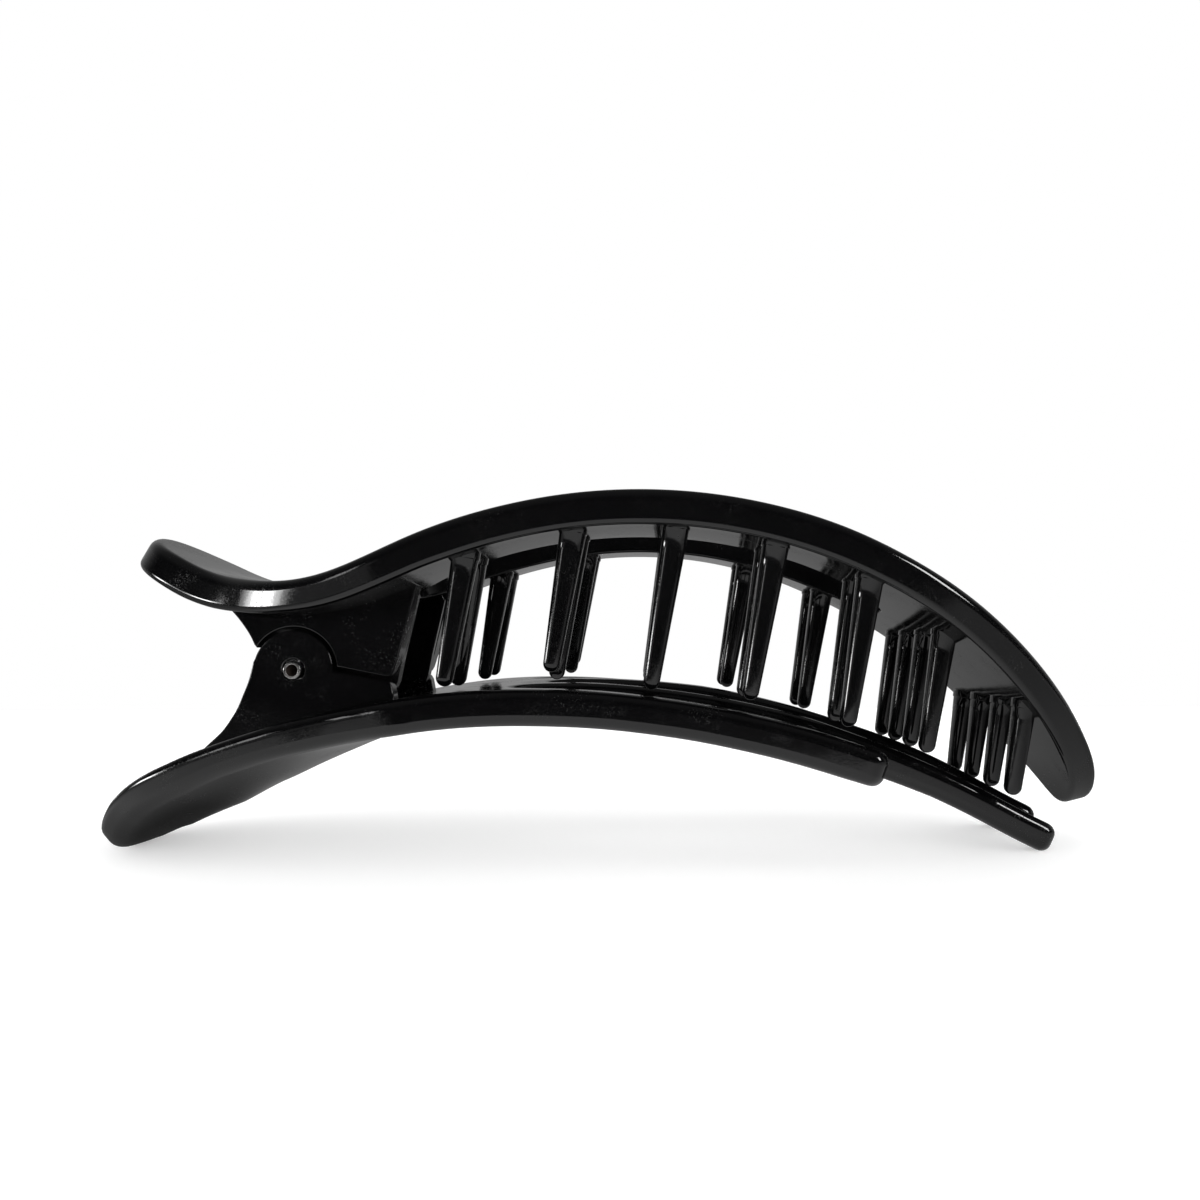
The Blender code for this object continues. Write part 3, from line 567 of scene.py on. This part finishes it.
def lower_outline(line):
    at = line.length_at
    tab = [(float(at(x)), -w) for x, w in LOWER_TAB]
    whole = closed_spline(tab + [(s, -y) for s, y in reversed(tab[1:])], DENSE)
    half = whole[:DENSE // 2]
    near = [tab[0]] + [tuple(p) for p in half if p[1] < -0.01 and p[0] < tab[-1][0] - 0.4]
    edge = near[-1]
    for arm, slot_end, next_arm in (
        (OUTER_ARM, SLOT_STARTS[0], INNER_ARM),
        (INNER_ARM, SLOT_STARTS[1], MIDDLE_ARM),
    ):
        cap = (arm[1] - arm[0]) / 2
        tip = float(at(arm[2])) - cap * ARM_END
        start = float(at(slot_end))
        slot = (arm[0] - next_arm[1]) / 2
        near += run(edge, (tip, -arm[1]))
        near += arc((tip, -(arm[0] + arm[1]) / 2), (cap * ARM_END, cap), -90, 90, 60)
        near += run((tip, -arm[0]), (start, -arm[0]))
        near += arc((start, -(arm[0] + next_arm[1]) / 2), (slot, slot), 270, 90, 60)
        edge = (start, -next_arm[1])
    tip = float(at(MIDDLE_ARM[2])) - MIDDLE_ARM[1] * ARM_END
    near += run(edge, (tip, -MIDDLE_ARM[1]))
    near += arc((tip, 0.0), (MIDDLE_ARM[1] * ARM_END, MIDDLE_ARM[1]), -90, 0, 40)
    outline = near + [(s, -y) for s, y in reversed(near[1:-1])]
    return resample(np.array(outline), LOWER_POINTS, LOWER_BEND)


def tooth(foot, tip, foot_size, tip_size):
    """Points and faces of a tapered tooth: a flared root, a squarish section and a rounded end."""
    foot = np.array(foot, float)
    tip = np.array(tip, float)
    axis = tip - foot
    length = np.linalg.norm(axis)
    axis /= length
    along = np.cross([0.0, 1.0, 0.0], axis)
    along /= np.linalg.norm(along)
    across = np.cross(axis, along)
    straight = length - TOOTH_END
    stops = [(-TOOTH_SUNK, TOOTH_FLARE, 1.0)]
    for angle in np.radians(np.linspace(0.0, 90.0, 6)):
        stops.append((TOOTH_FLARE * math.sin(angle), TOOTH_FLARE * (1 - math.sin(angle)), 1.0))
    for share in np.linspace(0.0, 1.0, 8)[1:]:
        stops.append((TOOTH_FLARE + (straight - TOOTH_FLARE) * share, 0.0, 1.0))
    for angle in np.radians(np.linspace(0.0, 84.0, 7))[1:]:
        stops.append((straight + TOOTH_END * math.sin(angle), 0.0, math.cos(angle)))
    angles = 2 * math.pi * np.arange(TOOTH_SIDES) / TOOTH_SIDES
    cx = np.sign(np.cos(angles)) * np.abs(np.cos(angles)) ** TOOTH_POWER
    cy = np.sign(np.sin(angles)) * np.abs(np.sin(angles)) ** TOOTH_POWER
    points = []
    for distance, flare, shrink in stops:
        share = min(max(distance / length, 0.0), 1.0)
        half_x = (foot_size[0] + (tip_size[0] - foot_size[0]) * share) * TOOTH_HALF * shrink + flare
        half_y = (foot_size[1] + (tip_size[1] - foot_size[1]) * share) * TOOTH_HALF * shrink + flare
        centre = foot + axis * distance
        points += [centre + along * half_x * a + across * half_y * b for a, b in zip(cx, cy)]
    points.append(tip)
    faces = [tuple(range(TOOTH_SIDES))]
    last = len(points) - 1
    for level in range(len(stops) - 1):
        a = level * TOOTH_SIDES
        b = a + TOOTH_SIDES
        for i in range(TOOTH_SIDES):
            j = (i + 1) % TOOTH_SIDES
            faces.append((a + i, a + j, b + j, b + i))
    a = (len(stops) - 1) * TOOTH_SIDES
    faces += [(a + i, a + (i + 1) % TOOTH_SIDES, last) for i in range(TOOTH_SIDES)]
    return points, faces


def comb(material):
    """All teeth of the upper jaw, four in each row."""
    points = []
    faces = []
    for fx, fz, tx, tz, foot_out, tip_out, foot_in, tip_in, longer, width in TEETH:
        for side in (-1, 1):
            for foot_y, tip_y, more in ((foot_out, tip_out, 0.0), (foot_in, tip_in, longer)):
                foot = (fx, side * foot_y, fz)
                tip = (tx, side * tip_y, tz - more)
                made, built = tooth(foot, tip, (width, TOOTH_FOOT_ACROSS), TOOTH_TIP)
                faces += [tuple(len(points) + i for i in face) for face in built]
                points += made
    return mesh_object("comb_teeth", points, faces, material, TOOTH_SHARP)


def cheek(name, outline, holes, planes, side, material):
    """A flat plate standing along the clip on one side of it, with rounded edges: outline and holes are
    x, z loops, planes its inner and outer distance from the middle."""
    far, near = side * planes[0], side * planes[1]

    def place(x, z, share, lift):
        y = near + (far - near) * share - math.copysign(1.0, far - near) * lift
        return np.stack([x, np.broadcast_to(y, x.shape), z], axis=-1)

    dense = np.array(outline)
    area = np.sum(dense[:, 0] * np.roll(dense[:, 1], -1) - np.roll(dense[:, 0], -1) * dense[:, 1])
    loops = [dense if area > 0 else dense[::-1]]
    loops += [np.array(hole)[::-1] for hole in holes]
    return bent_plate(name, place, loops, [CHEEK_ROUND] * len(loops), CHEEK_SPACING, material)


def pin_arc(radius, start, end, steps):
    """Points of an arc round the pin."""
    return arc((PIN_X, PIN_Z), (radius, radius), start, end, steps)


def pin_hole():
    """The hole in a cheek that the pin runs in."""
    return pin_arc(PIN_HOLE, 0, 360, HOLE_STEPS)[:-1]


def upper_cheeks(line, side, label, material):
    """The outer panel and the inner ear that hang from the upper jaw beside the spring."""
    top = line.place(line.length_at(np.array(PANEL_TOP)), 0.0, -PANEL_SUNK)
    roof = [(x, z) for x, _, z in top]
    outline = open_spline(PANEL_LEFT, 24) + pin_arc(*PANEL_ARC, 40) + PANEL_RIGHT + roof
    panel = cheek("upper_panel_" + label, outline, [], UPPER_PANEL, side, material)
    outline = pin_arc(*EAR_ARC, 48) + EAR_TOP
    ear = cheek("upper_ear_" + label, outline, [pin_hole()], UPPER_EAR, side, material)
    return [panel, ear]


def lower_cheek(line, side, label, material):
    """The web of the lower jaw with the round boss that carries the pin."""
    s = line.length_at(np.array(WEB_FOOT))
    foot = line.place(s, 0.0, -WEB_SUNK)
    crown = np.interp(WEB_FOOT, [x for x, _, _ in LOWER_CROWN], [c for _, c, _ in LOWER_CROWN])
    base = [(x, z - WEB_CROWN * drop) for (x, _, z), drop in zip(foot, crown)]
    outline = open_spline(WEB_LEFT, 40) + pin_arc(*BOSS_ARC, 48) + WEB_RIGHT + base
    return cheek("lower_web_" + label, outline, [pin_hole()], LOWER_EAR, side, material)


def turned(name, profile, sides, material):
    """A closed ring turned about the pin's axis: profile is radius, y."""
    points = []
    faces = []
    for radius, y in profile:
        circle = arc((0.0, 0.0), (radius, radius), 0, 360, sides)[:-1]
        points += [(PIN_X + x, y, PIN_Z + z) for x, z in circle]
    count = len(profile)
    for k in range(count):
        a = k * sides
        b = ((k + 1) % count) * sides
        faces += [(a + i, a + (i + 1) % sides, b + (i + 1) % sides, b + i) for i in range(sides)]
    return mesh_object(name, points, faces, material)


def pin_profile():
    """Outer wall, rounded rims and bore of the pin."""
    near = []
    for radius, side, start in ((PIN_RADIUS, -1.0, 0.0), (PIN_BORE, 1.0, 90.0)):
        for angle in np.radians(start + np.arange(0.0, 91.0, 15.0)):
            r = radius + PIN_LIP * (side + math.cos(angle))
            near.append((r, -PIN_HALF + PIN_LIP * (1 - math.sin(angle))))
    return near + [(r, -y) for r, y in reversed(near)]


def spring_path():
    """Centre line of the wire: a leg, the coil and the other leg."""
    start = math.radians(COIL_START)
    total = math.radians(COIL_START - COIL_END)
    count = int(COIL_STEPS * total / (2 * math.pi))
    path = []
    for i in range(count + 1):
        a = start - total * i / count
        y = COIL_LENGTH * (i / count - 0.5)
        path.append((PIN_X + COIL * math.cos(a), y, PIN_Z + COIL * math.sin(a)))
    first = (UPPER_LEG[0], -COIL_LENGTH / 2 - LEG_ASIDE, UPPER_LEG[1])
    last = (LOWER_LEG[0], COIL_LENGTH / 2 + LEG_ASIDE, LOWER_LEG[1])
    return [first] + path + [last]


def tube(name, path, radius, sides, material):
    """A wire with flat ends along a path."""
    line = np.array(path, float)
    points = []
    for i, centre in enumerate(line):
        direction = line[min(i + 1, len(line) - 1)] - line[max(i - 1, 0)]
        direction /= np.linalg.norm(direction)
        side = np.array([0.0, 1.0, 0.0]) - direction * direction[1]
        side /= np.linalg.norm(side)
        other = np.cross(direction, side)
        for a in 2 * math.pi * np.arange(sides) / sides:
            points.append(centre + radius * (math.cos(a) * side + math.sin(a) * other))
    faces = [tuple(range(sides)), tuple(range((len(line) - 1) * sides, len(line) * sides))]
    for i in range(len(line) - 1):
        for k in range(sides):
            j = (k + 1) % sides
            faces.append((i * sides + k, i * sides + j, (i + 1) * sides + j, (i + 1) * sides + k))
    return mesh_object(name, points, faces, material)


def settle():
    """Turn and shift that lay the tab's edge and the arms' ends on z = 0, with the clip over the origin."""
    about = Matrix.Translation((REST_ABOUT[0] * MM, 0.0, REST_ABOUT[1] * MM))
    turn = Matrix.Rotation(-math.radians(REST_TURN), 4, "Y")
    shift = Matrix.Translation((REST_SHIFT[0] * MM, 0.0, REST_SHIFT[1] * MM))
    return shift @ about @ turn @ about.inverted()


class Nodes:
    """Short calls for a node tree: add(type, inputs, settings) and link by passing sockets as inputs."""

    def __init__(self, tree):
        self.tree = tree
        tree.nodes.clear()

    def add(self, kind, inputs=None, **settings):
        node = self.tree.nodes.new("ShaderNode" + kind)
        for key, value in settings.items():
            setattr(node, key, value)
        for key, value in (inputs or {}).items():
            if isinstance(value, bpy.types.NodeSocket):
                self.tree.links.new(value, node.inputs[key])
            else:
                node.inputs[key].default_value = value
        return node

    def math(self, operation, a, b=0.0):
        return self.add("Math", {0: a, 1: b}, operation=operation).outputs[0]

    def times(self, a, b):
        return self.math("MULTIPLY", a, b)

    def vector(self, operation, inputs):
        return self.add("VectorMath", inputs, operation=operation).outputs

    def ramp(self, value, span, ends=(0.0, 1.0)):
        """A smooth step of the value over the span, from one end value to the other."""
        inputs = {"Value": value}
        inputs.update({"From Min": span[0], "From Max": span[1], "To Min": ends[0], "To Max": ends[1]})
        return self.add("MapRange", inputs, interpolation_type="SMOOTHSTEP").outputs["Result"]

    def mix(self, factor, a, b):
        return self.add("Mix", {"Factor": factor, 6: a, 7: b}, data_type="RGBA").outputs[2]

    def noise(self, place, scale, detail=2.0, rough=0.5):
        inputs = {"Vector": place, "Scale": scale, "Detail": detail, "Roughness": rough}
        return self.add("TexNoise", inputs).outputs["Fac"]


def new_material(name):
    material = bpy.data.materials.new(name)
    material.use_nodes = True
    return material, Nodes(material.node_tree)


def principled(material, nodes, relief, inputs):
    """Ends a material with its shader; relief is strength, depth (m) and height of the bump."""
    strength, depth, height = relief
    bump = nodes.add("Bump", {"Strength": strength, "Distance": depth, "Height": height})
    shader = nodes.add("BsdfPrincipled", {"Normal": bump.outputs["Normal"], **inputs})
    nodes.add("OutputMaterial", {"Surface": shader.outputs["BSDF"]})
    return material


def black_gloss():
    """Moulded black plastic: deep gloss with a faint orange peel, fine rubbing marks and a few specks."""
    material, nodes = new_material("black_gloss")
    place = nodes.add("TexCoord").outputs["Object"]
    peel = nodes.noise(place, PEEL_SCALE, 1.0)
    grain = nodes.noise(place, GRAIN_SCALE, 2.0, 0.6)
    rubbed = nodes.ramp(nodes.noise(place, RUB_SCALE, 3.0, 0.6), (0.42, 0.66))
    speck = nodes.ramp(nodes.noise(place, SPECK_SCALE, 0.0), (0.885, 0.93))
    marks = nodes.times(rubbed, nodes.ramp(grain, (0.45, 0.75)))
    rough = nodes.math("ADD", BODY_ROUGH, nodes.times(marks, MARK_ROUGH))
    colour = nodes.mix(speck, BODY_COLOUR, SPECK_COLOUR)
    scratches = nodes.times(nodes.math("ADD", nodes.times(rubbed, 0.7), 0.35), grain)
    height = nodes.math("ADD", peel, nodes.times(scratches, 0.7))
    looks = {"Base Color": colour, "Roughness": rough, "IOR": 1.5}
    return principled(material, nodes, (1.0, BODY_RELIEF, height), looks)


def steel(name, tint, low, high, bore=None):
    """Blotched steel with a fine grain; inside a bore round the pin's axis it is dull and brown."""
    material, nodes = new_material(name)
    place = nodes.add("TexCoord").outputs["Object"]
    grain = nodes.noise(place, 2500.0, 4.0, 0.6)
    rough = nodes.ramp(nodes.noise(place, 700.0, 2.0), (0.3, 0.7), (low, high))
    dark = tuple(c * STEEL_DARK for c in tint)
    colour = nodes.mix(nodes.ramp(grain, (0.4, 0.7)), (*dark, 1.0), (*tint, 1.0))
    metal = 1.0
    if bore:
        centre = REST @ Vector((PIN_X * MM, 0.0, PIN_Z * MM))
        away = nodes.vector("SUBTRACT", {0: place, 1: tuple(centre)})[0]
        flat = nodes.vector("MULTIPLY", {0: away, 1: (1.0, 0.0, 1.0)})[0]
        reach = nodes.vector("LENGTH", {0: flat})["Value"]
        metal = nodes.ramp(reach, (bore * MM, (bore + BORE_EDGE) * MM))
        colour = nodes.mix(metal, BORE_COLOUR, colour)
        rough = nodes.math("ADD", rough, nodes.times(nodes.math("SUBTRACT", 1.0, metal), BORE_ROUGH))
    looks = {"Base Color": colour, "Roughness": rough, "Metallic": metal}
    return principled(material, nodes, (0.35, STEEL_RELIEF, grain), looks)


def painted_floor_light(nodes, place):
    """How much the floor glows in the clip's gloss, a painted reflection set by position: a painted pool of
    light before the clip's middle, less behind it and to its sides, and a painted shadow round the lower
    tab's tip."""
    split = nodes.add("SeparateXYZ", {0: place})
    depth = split.outputs["Y"]
    # Painted pool of light: the floor in the gloss glows more before the clip than behind it and to its
    # sides
    lit = nodes.ramp(depth, GLOW_TURN, (GLOW_FRONT, GLOW_BACK))
    reach = nodes.ramp(depth, (-GLOW_REACH - GLOW_FADE, -GLOW_REACH + GLOW_FADE))
    aside = nodes.math("ABSOLUTE", nodes.math("ADD", split.outputs["X"], GLOW_SHIFT))
    middle = nodes.ramp(aside, GLOW_SPAN, (1.0, GLOW_SIDES))
    # Painted shadow: the glow fades round a fixed point at the lower tab's tip
    painted_shadow_distance = nodes.vector("DISTANCE", {0: place, 1: PAINTED_SHADOW_AT})["Value"]
    shade = nodes.ramp(painted_shadow_distance, PAINTED_SHADOW_SPAN, (PAINTED_SHADOW_SHARE, 1.0))
    return nodes.times(nodes.times(lit, reach), nodes.times(shade, middle))


def floor_material():
    """White paper with a little glow of its own; the clip's gloss sees it with another brightness, with
    painted light and a painted shadow set by position.
    """
    material, nodes = new_material("floor_white")
    place = nodes.add("TexCoord").outputs["Object"]
    tone = nodes.ramp(nodes.noise(place, 6.0, 2.0), (0.3, 0.7), FLOOR_TONE)
    paper = nodes.add("BsdfPrincipled", {"Base Color": tone, "Roughness": 0.9, "Specular IOR Level": 0.1})
    glow = nodes.add("Emission", {"Color": WHITE, "Strength": FLOOR_GLOW})
    bright = nodes.add("AddShader", {0: paper.outputs[0], 1: glow.outputs[0]})
    shade = nodes.add("BsdfDiffuse", {"Color": (FLOOR_IN_GLOSS, FLOOR_IN_GLOSS, FLOOR_IN_GLOSS, 1.0)})
    # Painted reflection: the floor in the gloss glows by position, not lit by any lamp
    painted_glow = nodes.add("Emission", {"Color": WHITE, "Strength": painted_floor_light(nodes, place)})
    dim = nodes.add("AddShader", {0: shade.outputs[0], 1: painted_glow.outputs[0]})
    glossy = nodes.add("LightPath").outputs["Is Glossy Ray"]
    seen = nodes.add("MixShader", {0: glossy, 1: bright.outputs[0], 2: dim.outputs[0]})
    nodes.add("OutputMaterial", {"Surface": seen.outputs[0]})
    return material


def studio_world():
    """White behind the clip for the camera, a grey room for its gloss, and a dome that is brightest at
    the horizon for the rest."""
    world = bpy.data.worlds.new("studio")
    bpy.context.scene.world = world
    world.use_nodes = True
    nodes = Nodes(world.node_tree)
    split = nodes.add("SeparateXYZ", {0: nodes.add("TexCoord").outputs["Generated"]})
    across = nodes.ramp(split.outputs["Y"], ROOM_TURN, (ROOM_FRONT, ROOM_BACK))
    above = nodes.ramp(split.outputs["Z"], ROOM_RISE)
    room = nodes.add("Mix", {"Factor": above, 2: across, 3: ROOM_TOP}).outputs[0]
    sky = nodes.ramp(split.outputs["Z"], DOME_TURN, (HORIZON, DOME))
    seen, grey, dome = [
        nodes.add("Background", {"Color": WHITE, "Strength": strength}).outputs[0]
        for strength in (1.0, room, sky)
    ]
    path = nodes.add("LightPath").outputs
    other = nodes.add("MixShader", {0: path["Is Glossy Ray"], 1: dome, 2: grey}).outputs[0]
    every = nodes.add("MixShader", {0: path["Is Camera Ray"], 1: other, 2: seen}).outputs[0]
    nodes.add("OutputWorld", {"Surface": every})


def softbox(name, place, size, radiance):
    """An even rectangle of light that only the gloss sees."""
    data = bpy.data.lights.new(name, "AREA")
    data.shape = "RECTANGLE"
    data.size, data.size_y = size
    data.energy = radiance * math.pi * size[0] * size[1]
    item = bpy.data.objects.new(name, data)
    bpy.context.scene.collection.objects.link(item)
    item.location = place
    item.rotation_euler = (Vector(STUDIO_MIDDLE) - Vector(place)).to_track_quat("-Z", "Y").to_euler()
    item.visible_camera = False
    item.visible_glossy = True
    item.visible_diffuse = False


def studio():
    bpy.context.scene.view_settings.view_transform = "Standard"
    studio_world()
    for box in SOFTBOXES:
        softbox(*box)
    half = FLOOR_HALF
    corners = [(-half, -half, 0), (half, -half, 0), (half, half, 0), (-half, half, 0)]
    mesh = bpy.data.meshes.new("floor")
    mesh.from_pydata(corners, [], [(0, 1, 2, 3)])
    mesh.materials.append(floor_material())
    floor = bpy.data.objects.new("floor", mesh)
    bpy.context.scene.collection.objects.link(floor)


def camera():
    data = bpy.data.cameras.new("camera")
    data.sensor_width = SENSOR
    data.lens = FOCAL * SENSOR
    data.shift_x = (IMAGE / 2 - PRINCIPAL[0]) / IMAGE
    data.shift_y = (PRINCIPAL[1] - IMAGE / 2) / IMAGE
    data.clip_start = CLIP_START
    item = bpy.data.objects.new("camera", data)
    bpy.context.scene.collection.objects.link(item)
    roll = Matrix.Rotation(math.radians(ROLL), 4, "Y")
    level = Matrix.Rotation(math.radians(90.0), 4, "X")
    item.matrix_world = Matrix.Translation(EYE) @ roll @ level
    bpy.context.scene.camera = item


def dress(pieces, body, slot, *nodes):
    """The pieces ride on a body and take the place of the nodes; the slot is not used."""
    for piece in pieces:
        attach(piece, body)
        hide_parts(*nodes)


REST = settle()
camera()
studio()
plastic = black_gloss()
upper_line = Line(UPPER_LINE)
lower_line = Line(LOWER_LINE)

upper = [
    bent_plate(
        "upper_shell", upper_surface(upper_line), [upper_outline(upper_line), hole_outline(upper_line)],
        (UPPER_ROUND, HOLE_ROUND), CAP_SPACING, plastic, UPPER_UNDER,
    ),
    comb(plastic),
]
lower = [
    bent_plate(
        "lower_shell", lower_surface(lower_line), [lower_outline(lower_line)],
        (LOWER_ROUND,), CAP_SPACING, plastic,
    ),
]
for side, label in ((-1, "near"), (1, "far")):
    upper += upper_cheeks(upper_line, side, label, plastic)
    lower.append(lower_cheek(lower_line, side, label, plastic))
dress(upper, "upper", "black_plastic", "upper_jaw")
dress(lower, "lower", "black_plastic", "lower_jaw")

pin = turned("pin_tube", pin_profile(), PIN_SIDES, steel("pin_metal", *PIN_STEEL, PIN_BORE))
dress([pin], "lower", "pin_steel", "hinge_pin")
wire = tube("spring_wire", spring_path(), WIRE, WIRE_SIDES, steel("spring_metal", *WIRE_STEEL))
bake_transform(wire)
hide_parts("torsion_spring")
